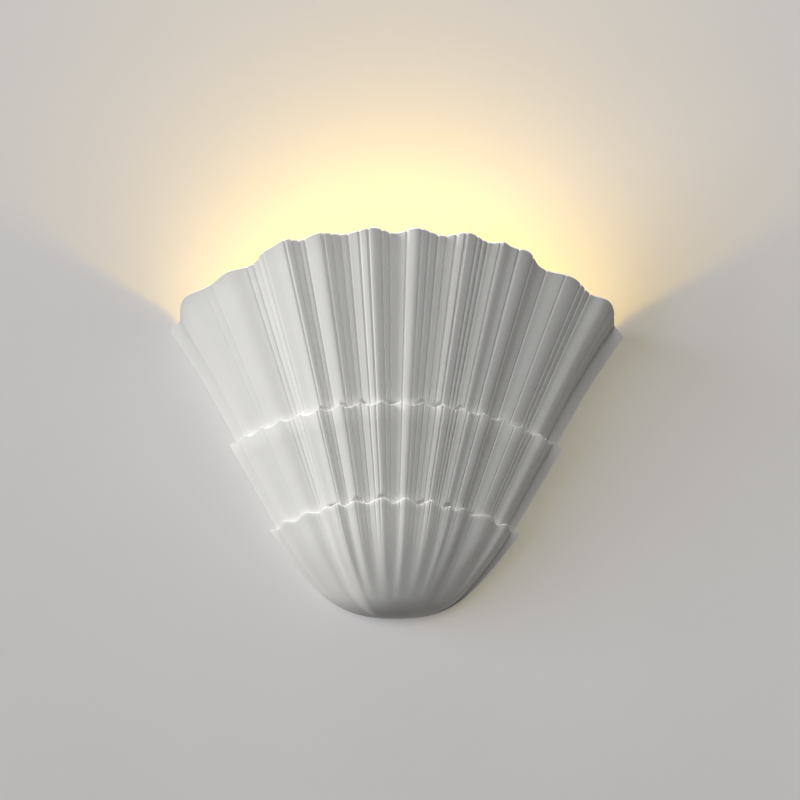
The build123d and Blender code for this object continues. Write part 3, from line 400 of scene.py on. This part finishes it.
def add_lug(b, side):
    """A cast lug inside the shell, with the hole of its brass insert in the back."""
    hole = bmesh.ops.create_circle(b, segments=24, radius=3.55 * MM,
                                   matrix=Matrix.Translation((0, 0, 0)) @ Matrix.Rotation(radians(90), 4, "X"))
    rim = bmesh.ops.create_circle(b, segments=24, radius=13.4 * MM,
                                  matrix=Matrix.Rotation(radians(90), 4, "X"))
    for v in rim["verts"]:
        v.co.x = max(-10.0 * MM, min(18.0 * MM, v.co.x * 1.9))
        v.co.z = max(-10.0 * MM, min(10.0 * MM, v.co.z))
    ring = [e for v in hole["verts"] for e in v.link_edges] + [e for v in rim["verts"] for e in v.link_edges]
    bmesh.ops.bridge_loops(b, edges=list(set(ring)))
    depth_in = bmesh.ops.extrude_edge_only(b, edges=list({e for v in hole["verts"] for e in v.link_edges
                                                          if all(w in hole["verts"] for w in e.verts)}))
    deep = [g for g in depth_in["geom"] if isinstance(g, bmesh.types.BMVert)]
    bmesh.ops.translate(b, verts=deep, vec=(0, -10.1 * MM, 0))
    bmesh.ops.contextual_create(b, geom=[g for g in depth_in["geom"] if isinstance(g, bmesh.types.BMEdge)
                                         and all(v in deep for v in g.verts)])
    body = bmesh.ops.extrude_edge_only(b, edges=list({e for v in rim["verts"] for e in v.link_edges
                                                      if all(w in rim["verts"] for w in e.verts)}))
    front = [g for g in body["geom"] if isinstance(g, bmesh.types.BMVert)]
    bmesh.ops.translate(b, verts=front, vec=(0, -13.0 * MM, 0))
    bmesh.ops.contextual_create(b, geom=[g for g in body["geom"] if isinstance(g, bmesh.types.BMEdge)
                                         and all(v in front for v in g.verts)])
    lug = list({v for v in list(hole["verts"]) + list(rim["verts"]) + deep + front})
    if side < 0:
        for v in lug:
            v.co.x = -v.co.x
    bmesh.ops.translate(b, verts=lug, vec=(side * 80.0 * MM, -5.0 * MM, 23.0 * MM))
    return lug


def shell_mesh():
    lines = [column_line(c) for c in shell_columns()]
    columns, rows = len(lines) - 1, len(lines[0]) - 1
    b = bmesh.new()
    bmesh.ops.create_grid(b, x_segments=columns, y_segments=rows, size=1.0)
    b.verts.ensure_lookup_table()
    for v in b.verts:
        column, row = round((v.co.x + 1) / 2 * columns), round((v.co.y + 1) / 2 * rows)
        x, depth, level = lines[column][row]
        v.co = Vector((x, -max(0.0, depth), level - ORIGIN_LEVEL)) * MM
    border = [e for e in b.edges if e.is_boundary]
    back = bmesh.ops.contextual_create(b, geom=border)["faces"]
    bmesh.ops.triangulate(b, faces=back)
    bmesh.ops.remove_doubles(b, verts=b.verts, dist=1e-6)
    bmesh.ops.recalc_face_normals(b, faces=b.faces)
    for side in (-1, 1):
        other = bmesh.new()
        add_lug(other, side)
        bmesh.ops.recalc_face_normals(other, faces=other.faces)
        lug_mesh = bpy.data.meshes.new("lug")
        other.to_mesh(lug_mesh)
        other.free()
        b.from_mesh(lug_mesh)
        bpy.data.meshes.remove(lug_mesh)
    return b


# ---------------------------------------------------------------- materials
def node_group(name, inputs, outputs):
    group = bpy.data.node_groups.new(name, "ShaderNodeTree")
    for label, kind, value in inputs:
        socket = group.interface.new_socket(name=label, in_out="INPUT", socket_type=kind)
        if value is not None:
            socket.default_value = value
    for label, kind in outputs:
        group.interface.new_socket(name=label, in_out="OUTPUT", socket_type=kind)
    return group


def cast_surface_group():
    """Mottle, fine grain and small pits: a factor for the colour, a factor for the roughness and a height."""
    group = node_group("cast surface",
                       [("Vector", "NodeSocketVector", None), ("Blotch scale", "NodeSocketFloat", 30.0),
                        ("Grain scale", "NodeSocketFloat", 900.0), ("Pits", "NodeSocketFloat", 0.3)],
                       [("Mottle", "NodeSocketFloat"), ("Grain", "NodeSocketFloat"), ("Height", "NodeSocketFloat")])
    n, link = group.nodes, group.links.new
    source, sink = n.new("NodeGroupInput"), n.new("NodeGroupOutput")
    blotch = n.new("ShaderNodeTexNoise")
    blotch.inputs["Detail"].default_value = 5.0
    grain = n.new("ShaderNodeTexNoise")
    grain.inputs["Detail"].default_value = 3.0
    pits = n.new("ShaderNodeTexVoronoi")
    pit_shape = n.new("ShaderNodeMapRange")
    pit_shape.inputs["From Max"].default_value = 0.18
    link(source.outputs["Vector"], blotch.inputs["Vector"])
    link(source.outputs["Vector"], grain.inputs["Vector"])
    link(source.outputs["Vector"], pits.inputs["Vector"])
    link(source.outputs["Blotch scale"], blotch.inputs["Scale"])
    link(source.outputs["Grain scale"], grain.inputs["Scale"])
    quarter = n.new("ShaderNodeMath")
    quarter.operation = "MULTIPLY"
    quarter.inputs[1].default_value = 0.35
    link(source.outputs["Grain scale"], quarter.inputs[0])
    link(quarter.outputs[0], pits.inputs["Scale"])
    link(pits.outputs["Distance"], pit_shape.inputs["Value"])
    mixed = n.new("ShaderNodeMix")
    mixed.inputs["B"].default_value = 1.0
    link(source.outputs["Pits"], mixed.inputs["Factor"])
    link(grain.outputs["Fac"], mixed.inputs["A"])
    link(pit_shape.outputs["Result"], mixed.inputs["B"])
    link(blotch.outputs["Fac"], sink.inputs["Mottle"])
    link(grain.outputs["Fac"], sink.inputs["Grain"])
    link(mixed.outputs["Result"], sink.inputs["Height"])
    return group


def brushed_group():
    """Long fine scratches along one direction."""
    group = node_group("brushed metal",
                       [("Vector", "NodeSocketVector", None), ("Line scale", "NodeSocketFloat", 1500.0)],
                       [("Lines", "NodeSocketFloat"), ("Stain", "NodeSocketFloat")])
    n, link = group.nodes, group.links.new
    source, sink = n.new("NodeGroupInput"), n.new("NodeGroupOutput")
    stretch = n.new("ShaderNodeMapping")
    stretch.inputs["Scale"].default_value = (0.03, 1.0, 1.0)
    lines, stain = n.new("ShaderNodeTexNoise"), n.new("ShaderNodeTexNoise")
    stain.inputs["Scale"].default_value = 60.0
    link(source.outputs["Vector"], stretch.inputs["Vector"])
    link(stretch.outputs["Vector"], lines.inputs["Vector"])
    link(source.outputs["Line scale"], lines.inputs["Scale"])
    link(source.outputs["Vector"], stain.inputs["Vector"])
    link(lines.outputs["Fac"], sink.inputs["Lines"])
    link(stain.outputs["Fac"], sink.inputs["Stain"])
    return group


CAST_SURFACE = cast_surface_group()
BRUSHED = brushed_group()


def new_material(name, roughness=0.5, metallic=0.0, **fixed):
    material = bpy.data.materials.new(name)
    material.use_nodes = True
    shader = material.node_tree.nodes["Principled BSDF"]
    shader.inputs["Roughness"].default_value = roughness
    shader.inputs["Metallic"].default_value = metallic
    for label, value in fixed.items():
        shader.inputs[label.replace("_", " ")].default_value = value
    return material, material.node_tree.nodes, material.node_tree.links.new, shader


def colour_ramp(nodes, *stops):
    ramp = nodes.new("ShaderNodeValToRGB")
    while len(ramp.color_ramp.elements) < len(stops):
        ramp.color_ramp.elements.new(0.5)
    for element, (place, colour) in zip(ramp.color_ramp.elements, stops):
        element.position = place
        element.color = (*colour, 1.0)
    return ramp


def shade(colour, factor):
    return tuple(min(1.0, c * factor) for c in colour)


def value_range(nodes, link, source, low, high):
    spread = nodes.new("ShaderNodeMapRange")
    spread.inputs["From Min"].default_value = 0.3
    spread.inputs["From Max"].default_value = 0.7
    spread.inputs["To Min"].default_value = low
    spread.inputs["To Max"].default_value = high
    link(source, spread.inputs["Value"])
    return spread.outputs["Result"]


def surface(name, colour, roughness, metallic=0.0, blotch=30.0, grain=900.0, pits=0.3, spread=0.04, rough_spread=0.06,
            height=0.00004, **fixed):
    """A moulded, cast or coated finish with mottle in its colour, and grain in its gloss and relief."""
    material, nodes, link, shader = new_material(name, roughness, metallic, **fixed)
    place = nodes.new("ShaderNodeTexCoord")
    cast = nodes.new("ShaderNodeGroup")
    cast.node_tree = CAST_SURFACE
    cast.inputs["Blotch scale"].default_value = blotch
    cast.inputs["Grain scale"].default_value = grain
    cast.inputs["Pits"].default_value = pits
    link(place.outputs["Object"], cast.inputs["Vector"])
    ramp = colour_ramp(nodes, (0.3, shade(colour, 1 - spread)), (0.7, shade(colour, 1 + spread)))
    link(cast.outputs["Mottle"], ramp.inputs["Fac"])
    link(ramp.outputs["Color"], shader.inputs["Base Color"])
    link(value_range(nodes, link, cast.outputs["Grain"], roughness - rough_spread, roughness + rough_spread),
         shader.inputs["Roughness"])
    bump = nodes.new("ShaderNodeBump")
    bump.inputs["Distance"].default_value = height
    link(cast.outputs["Height"], bump.inputs["Height"])
    link(bump.outputs["Normal"], shader.inputs["Normal"])
    return material


def metal(name, colour, roughness, line_scale=1500.0, spread=0.06, **fixed):
    material, nodes, link, shader = new_material(name, roughness, 1.0, **fixed)
    place = nodes.new("ShaderNodeTexCoord")
    brushed = nodes.new("ShaderNodeGroup")
    brushed.node_tree = BRUSHED
    brushed.inputs["Line scale"].default_value = line_scale
    link(place.outputs["Object"], brushed.inputs["Vector"])
    ramp = colour_ramp(nodes, (0.3, shade(colour, 1 - spread)), (0.7, shade(colour, 1 + spread)))
    link(brushed.outputs["Stain"], ramp.inputs["Fac"])
    link(ramp.outputs["Color"], shader.inputs["Base Color"])
    link(value_range(nodes, link, brushed.outputs["Lines"], roughness * 0.75, roughness * 1.3),
         shader.inputs["Roughness"])
    bump = nodes.new("ShaderNodeBump")
    bump.inputs["Distance"].default_value = 0.00001
    link(brushed.outputs["Lines"], bump.inputs["Height"])
    link(bump.outputs["Normal"], shader.inputs["Normal"])
    return material


def two_colour_wire(name):
    """Green insulation with a yellow stripe that winds round it."""
    material, nodes, link, shader = new_material(name, 0.42)
    place = nodes.new("ShaderNodeTexCoord")
    wave = nodes.new("ShaderNodeTexWave")
    wave.bands_direction = "DIAGONAL"
    wave.inputs["Scale"].default_value = 90.0
    ramp = colour_ramp(nodes, (0.0, (0.05, 0.26, 0.05)), (0.5, (0.78, 0.66, 0.05)))
    ramp.color_ramp.interpolation = "CONSTANT"
    link(place.outputs["Object"], wave.inputs["Vector"])
    link(wave.outputs["Fac"], ramp.inputs["Fac"])
    link(ramp.outputs["Color"], shader.inputs["Base Color"])
    return material


def glowing(name, colour, light, strength):
    material, nodes, link, shader = new_material(name, 0.3, 0.0, Emission_Strength=strength)
    place = nodes.new("ShaderNodeTexCoord")
    cast = nodes.new("ShaderNodeGroup")
    cast.node_tree = CAST_SURFACE
    cast.inputs["Blotch scale"].default_value = 45.0
    link(place.outputs["Object"], cast.inputs["Vector"])
    body = colour_ramp(nodes, (0.3, shade(colour, 0.97)), (0.7, colour))
    lit = colour_ramp(nodes, (0.3, shade(light, 0.94)), (0.7, light))
    link(cast.outputs["Mottle"], body.inputs["Fac"])
    link(cast.outputs["Mottle"], lit.inputs["Fac"])
    link(body.outputs["Color"], shader.inputs["Base Color"])
    link(lit.outputs["Color"], shader.inputs["Emission Color"])
    return material


FINISHES = {
    "white_casting": surface("white casting", (0.70, 0.696, 0.672), 0.72, blotch=22.0, grain=1400.0, pits=0.25,
                             spread=0.018, height=0.00003),
    "white_steel": surface("white powder coat", (0.80, 0.80, 0.78), 0.42, blotch=60.0, grain=700.0, pits=0.0,
                           spread=0.02, height=0.00005),
    "zinc_steel": metal("zinc plated steel", (0.62, 0.63, 0.64), 0.32),
    "brass": metal("brass", (0.78, 0.60, 0.30), 0.28),
    "grey_rubber": surface("grey rubber", (0.11, 0.11, 0.11), 0.7, grain=1200.0, pits=0.4),
    "holder_plastic": surface("lampholder plastic", (0.80, 0.80, 0.77), 0.45, grain=1100.0),
    "white_steatite": surface("steatite", (0.80, 0.78, 0.70), 0.6, blotch=90.0, grain=1000.0, spread=0.06),
    "block_plastic": surface("terminal block plastic", (0.78, 0.77, 0.71), 0.4, grain=1000.0),
    "brown_insulation": surface("brown insulation", (0.20, 0.10, 0.05), 0.42, grain=1200.0, spread=0.08),
    "blue_insulation": surface("blue insulation", (0.06, 0.20, 0.48), 0.42, grain=1200.0, spread=0.08),
    "green_yellow_insulation": two_colour_wire("green and yellow insulation"),
    "nickel_plate": metal("nickel plate", (0.70, 0.69, 0.66), 0.18, spread=0.04),
    "black_insulator": surface("black glass insulator", (0.03, 0.03, 0.03), 0.2, grain=800.0, spread=0.2,
                               rough_spread=0.04),
    "solder": metal("solder", (0.56, 0.56, 0.57), 0.38, line_scale=500.0),
    "lamp_plastic": surface("lamp neck plastic", (0.84, 0.84, 0.82), 0.32, grain=900.0),
    "opal_globe": glowing("opal globe", (0.92, 0.90, 0.84), (1.0, 0.76, 0.36), 1.6),
    "board_aluminium": metal("aluminium board", (0.80, 0.80, 0.80), 0.35),
    "led_phosphor": glowing("led phosphor", (0.90, 0.74, 0.26), (1.0, 0.82, 0.5), 4.0),
}


# ---------------------------------------------------------------- the pieces
shell = make_piece("cast_shell", shell_mesh(), "shade", FINISHES["white_casting"], ("shell_shade",))

for part in frame["record"]["subparts"]:
    node = frame["nodes"][part["node"]]
    node.data.materials.clear()
    node.data.materials.append(FINISHES[part["material_slot"]])


# ---------------------------------------------------------------- wall, floor, camera and light
def stage_plane(name, corners, material):
    b = bmesh.new()
    b.faces.new([b.verts.new(c) for c in corners])
    mesh = bpy.data.meshes.new(name)
    b.to_mesh(mesh)
    b.free()
    plane = bpy.data.objects.new(name, mesh)
    bpy.context.scene.collection.objects.link(plane)
    mesh.materials.append(material)
    return plane


def painted_wall():
    """Matt wall paint. Its back lets everything through, so that the sconce can be seen from behind."""
    material, nodes, link, shader = new_material("wall paint", 0.9)
    place = nodes.new("ShaderNodeTexCoord")
    cast = nodes.new("ShaderNodeGroup")
    cast.node_tree = CAST_SURFACE
    cast.inputs["Blotch scale"].default_value = 6.0
    cast.inputs["Grain scale"].default_value = 500.0
    cast.inputs["Pits"].default_value = 0.0
    link(place.outputs["Object"], cast.inputs["Vector"])
    ramp = colour_ramp(nodes, (0.3, (0.80, 0.78, 0.765)), (0.7, (0.82, 0.80, 0.78)))
    link(cast.outputs["Mottle"], ramp.inputs["Fac"])
    link(ramp.outputs["Color"], shader.inputs["Base Color"])
    bump = nodes.new("ShaderNodeBump")
    bump.inputs["Distance"].default_value = 0.00004
    link(cast.outputs["Height"], bump.inputs["Height"])
    link(bump.outputs["Normal"], shader.inputs["Normal"])
    back = nodes.new("ShaderNodeNewGeometry")
    clear = nodes.new("ShaderNodeBsdfTransparent")
    mix = nodes.new("ShaderNodeMixShader")
    link(back.outputs["Backfacing"], mix.inputs["Fac"])
    link(shader.outputs["BSDF"], mix.inputs[1])
    link(clear.outputs["BSDF"], mix.inputs[2])
    link(mix.outputs["Shader"], nodes["Material Output"].inputs["Surface"])
    return material


def pale_floor():
    """Pale to look at, but dark to the sconce, whose underside stays in shade."""
    material = surface("pale floor", (0.78, 0.775, 0.76), 0.8, blotch=4.0, grain=300.0, spread=0.02)
    nodes, link = material.node_tree.nodes, material.node_tree.links.new
    seen = nodes.new("ShaderNodeLightPath")
    dark = nodes.new("ShaderNodeBsdfDiffuse")
    dark.inputs["Color"].default_value = (0.03, 0.03, 0.03, 1.0)
    mix = nodes.new("ShaderNodeMixShader")
    link(seen.outputs["Is Camera Ray"], mix.inputs["Fac"])
    link(dark.outputs["BSDF"], mix.inputs[1])
    link(nodes["Principled BSDF"].outputs["BSDF"], mix.inputs[2])
    link(mix.outputs["Shader"], nodes["Material Output"].inputs["Surface"])
    return material


WALL_Y = 0.0004
FLOOR_Z = -1.1
wall = stage_plane("wall", [(-2.5, WALL_Y, FLOOR_Z), (2.5, WALL_Y, FLOOR_Z), (2.5, WALL_Y, 1.6), (-2.5, WALL_Y, 1.6)],
                   painted_wall())
floor = stage_plane("floor", [(-4, -4, FLOOR_Z), (4, -4, FLOOR_Z), (4, 4, FLOOR_Z), (-4, 4, FLOOR_Z)], pale_floor())

CAMERA_DISTANCE = 1.6
camera = bpy.data.objects.new("camera", bpy.data.cameras.new("camera"))
bpy.context.scene.collection.objects.link(camera)
camera.location = (0.0024, -CAMERA_DISTANCE, 0.0397)
camera.rotation_euler = (radians(90), radians(-0.6), 0)
camera.data.sensor_width = 36.0
camera.data.lens = 36.0 * CAMERA_DISTANCE / 0.52744
camera.data.clip_start, camera.data.clip_end = 0.05, 20.0
bpy.context.scene.camera = camera


def area_light(name, place, target, size, power, colour=(1, 1, 1)):
    data = bpy.data.lights.new(name, "AREA")
    data.shape = "DISK"
    data.size = size
    data.energy = power
    data.color = colour
    light = bpy.data.objects.new(name, data)
    light.location = place
    light.rotation_euler = (Vector(target) - Vector(place)).to_track_quat("-Z", "Y").to_euler()
    bpy.context.scene.collection.objects.link(light)
    return light


def far_light(name, place, strength, softness, colour=(1, 1, 1)):
    """Even light from far away, soft at the shadows' edges by the angle it fills."""
    data = bpy.data.lights.new(name, "SUN")
    data.energy = strength
    data.color = colour
    data.angle = radians(softness)
    light = bpy.data.objects.new(name, data)
    light.location = place
    light.rotation_euler = (-Vector(place)).to_track_quat("-Z", "Y").to_euler()
    bpy.context.scene.collection.objects.link(light)
    return light


def receive(light, name, objects):
    """Keeps a light to some objects."""
    group = bpy.data.collections.new(name)
    for thing in objects:
        group.objects.link(thing)
    light.light_linking.receiver_collection = group


def block(light, name, objects):
    """Lets only these objects throw shadows in a light."""
    group = bpy.data.collections.new(name)
    for thing in objects:
        group.objects.link(thing)
    light.light_linking.blocker_collection = group


pieces = [shell] + list(frame["nodes"].values())
key = far_light("key from the left", (-0.93, -0.20, 0.30), 3.20, 22.0)
above = far_light("soft light from above", (-0.05, -0.74, 0.67), 3.08, 54.0)
behind = far_light("fill from behind", (0.35, 0.90, -0.10), 0.6, 60.0)
receive(key, "lit by the key", pieces)
receive(above, "lit from above", pieces + [floor])
receive(behind, "lit from behind", pieces)
block(behind, "in the way from behind", pieces)
wall_side = far_light("wall light from the left", (-0.91, -0.41, 0.05), 2.62, 50.0, (0.64, 0.74, 1.0))
wall_front = far_light("wall light from the front", (-0.1, -1.0, 0.15), 1.38, 60.0, (1.0, 0.93, 0.75))
for light in (wall_side, wall_front):
    receive(light, "lit by the " + light.name, [wall])

glow = area_light("lamp glow", (0, -0.040, 0.020), (0, -0.040, 1.0), 0.050, 0.80, (1.0, 0.62, 0.0))
receive(glow, "lit by the lamp glow", [wall])
block(glow, "in the way of the lamp glow", [shell])



def studio_world():
    """Faint light from all round, behind which the camera sees a pale backdrop."""
    world = bpy.data.worlds.new("studio")
    world.use_nodes = True
    nodes, link = world.node_tree.nodes, world.node_tree.links.new
    faint = nodes["Background"]
    faint.inputs["Color"].default_value = (1.0, 1.0, 1.0, 1.0)
    faint.inputs["Strength"].default_value = 0.03
    backdrop = nodes.new("ShaderNodeBackground")
    backdrop.inputs["Color"].default_value = (0.60, 0.595, 0.585, 1.0)
    seen = nodes.new("ShaderNodeLightPath")
    mix = nodes.new("ShaderNodeMixShader")
    link(seen.outputs["Is Camera Ray"], mix.inputs["Fac"])
    link(faint.outputs["Background"], mix.inputs[1])
    link(backdrop.outputs["Background"], mix.inputs[2])
    link(mix.outputs["Shader"], nodes["World Output"].inputs["Surface"])
    return world


bpy.context.scene.world = studio_world()
bpy.context.scene.view_settings.view_transform = "Standard"
